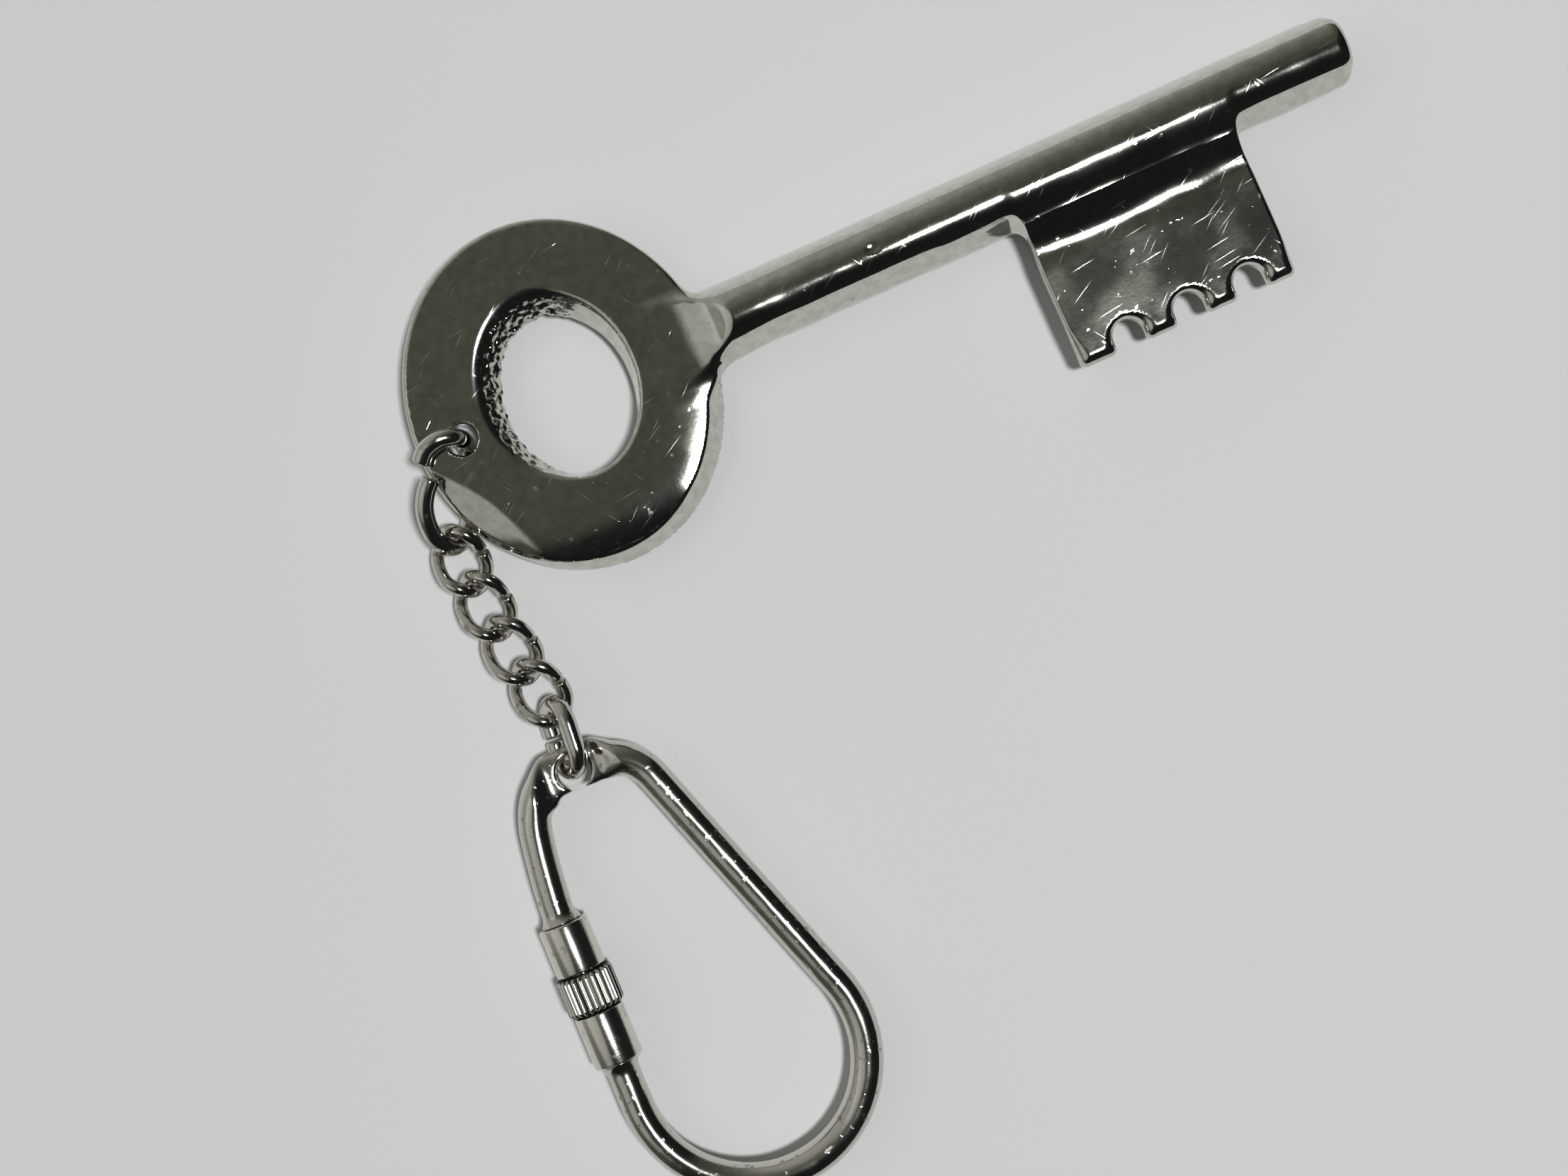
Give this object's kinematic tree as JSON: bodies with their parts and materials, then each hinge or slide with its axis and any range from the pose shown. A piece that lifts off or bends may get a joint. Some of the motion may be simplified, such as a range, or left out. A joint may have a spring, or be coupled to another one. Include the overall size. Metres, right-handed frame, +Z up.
{
  "type": "key-shaped keychain",
  "caption": "Cast key-shaped fob on a short curb chain with open jump rings and a screw-lock keyring loop that a knurled collar closes.",
  "frame": {"origin": "on the flat back of the key's stem, on its centre line, where the stem leaves the bow", "axes": "+X along the stem to its tip, +Z up out of the flat back, the bit and the chain on the -Y side"},
  "size_m": [0.1138, 0.1031, 0.0078],
  "materials": {
    "cast_nickel": "bright nickel plate over a tumbled casting, softly scratched, pitted on the bow's inner wall",
    "ring_nickel": "bright nickel plate on drawn wire, cut ends left raw",
    "chain_nickel": "bright nickel plate on drawn wire, worn between the links",
    "loop_nickel": "bright nickel plate on bent wire, grainy on the bends and hammered at the eye",
    "turned_nickel": "bright nickel plate with fine turning marks and straight knurling"
  },
  "bodies": {
    "key": {"key_casting": "cast_nickel"},
    "key_ring": {"key_ring": "ring_nickel"},
    "link_1": {"chain_link_1": "chain_nickel"},
    "link_2": {"chain_link_2": "chain_nickel"},
    "link_3": {"chain_link_3": "chain_nickel"},
    "link_4": {"chain_link_4": "chain_nickel"},
    "loop_ring": {"loop_ring": "ring_nickel"},
    "loop": {"loop_wire": "loop_nickel", "upper_ferrule": "turned_nickel", "lower_ferrule": "turned_nickel"},
    "screw": {"knurled_collar": "turned_nickel", "threaded_stud": "turned_nickel"}
  },
  "joints": [
    {"name": "key_ring_swing", "type": "hinge", "parent": "key", "child": "key_ring", "pos_m": [-0.0314, 0, 0.0038], "axis": [0, 0, 1], "range_deg": [-90, 0]},
    {"name": "link_1_swing", "type": "hinge", "parent": "key_ring", "child": "link_1", "pos_m": [-0.0369, -0.00855, 0.00305], "axis": [0, 0, 1], "range_deg": [-18, 3]},
    {"name": "link_2_lift", "type": "hinge", "parent": "link_1", "child": "link_2", "pos_m": [-0.03671, -0.01385, 0.00305], "axis": [-0.9954, -0.0958, 0], "range_deg": [0, 18]},
    {"name": "link_3_swing", "type": "hinge", "parent": "link_2", "child": "link_3", "pos_m": [-0.03621, -0.01914, 0.00305], "axis": [0, 0, 1], "range_deg": [-18, 18]},
    {"name": "link_4_lift", "type": "hinge", "parent": "link_3", "child": "link_4", "pos_m": [-0.03542, -0.02439, 0.00305], "axis": [-0.9816, -0.1908, 0], "range_deg": [0, 18]},
    {"name": "loop_ring_swing", "type": "hinge", "parent": "link_4", "child": "loop_ring", "pos_m": [-0.03441, -0.0296, 0.00305], "axis": [0, 0, -1], "range_deg": [-6, 6]},
    {"name": "loop_swing", "type": "hinge", "parent": "loop_ring", "child": "loop", "pos_m": [-0.03503, -0.03585, 0.00305], "axis": [0, 0, 1], "range_deg": [-25, 25]},
    {"name": "screw_spin", "type": "hinge", "parent": "loop", "child": "screw", "pos_m": [-0.04216, -0.03566, 0.00305], "axis": [0.0262, 0.9997, 0], "range_deg": [0, 1800]}
  ]
}
